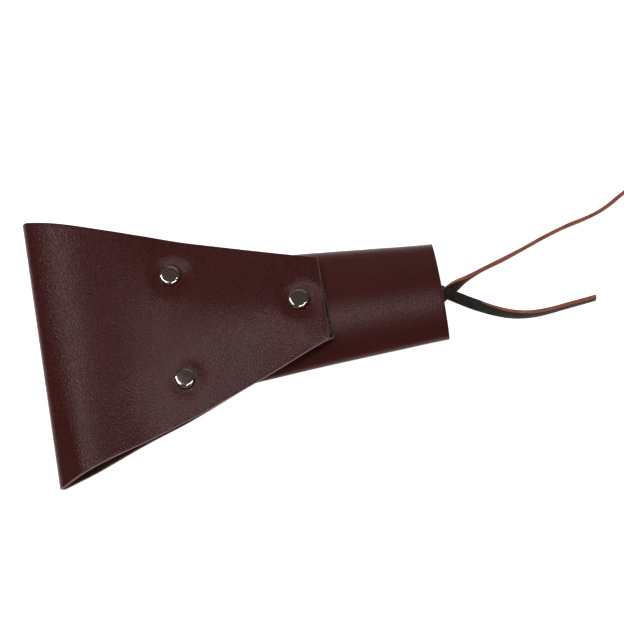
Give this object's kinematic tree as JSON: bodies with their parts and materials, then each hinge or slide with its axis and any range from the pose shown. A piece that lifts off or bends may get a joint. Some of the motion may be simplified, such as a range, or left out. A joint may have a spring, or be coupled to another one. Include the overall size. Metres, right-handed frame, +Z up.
{
  "type": "leather belt frog",
  "caption": "Leather belt frog: a folded belt loop riveted to a tapering sleeve that a tool handle or scabbard slides into, laced along its underside with a flat thong.",
  "frame": {"origin": "on the table, under the middle of the leather's footprint (the thong's tails not counted)", "axes": "+X from the belt fold to the narrow end of the sleeve, +Y across the belt loop, +Z up, from the laced side to the loop panel"},
  "size_m": [0.3142, 0.138, 0.0244],
  "materials": {
    "burgundy_leather": "fine pebble grain, satin; black flesh side, red-brown cut edges",
    "thong_leather": "flat cut thong, matte black flesh side, grain side and edges orange-brown",
    "nickel": "nickel plate, slightly brushed"
  },
  "bodies": {
    "root": {"loop_panel": "burgundy_leather", "sleeve_panel": "burgundy_leather", "lace": "thong_leather", "lace_tail_upper": "thong_leather", "lace_tail_lower": "thong_leather", "rivet_cap_mouth_left": "nickel", "rivet_stud_mouth_left": "nickel", "rivet_cap_mouth_right": "nickel", "rivet_stud_mouth_right": "nickel", "rivet_cap_tip": "nickel", "rivet_stud_tip": "nickel"}
  },
  "joints": []
}
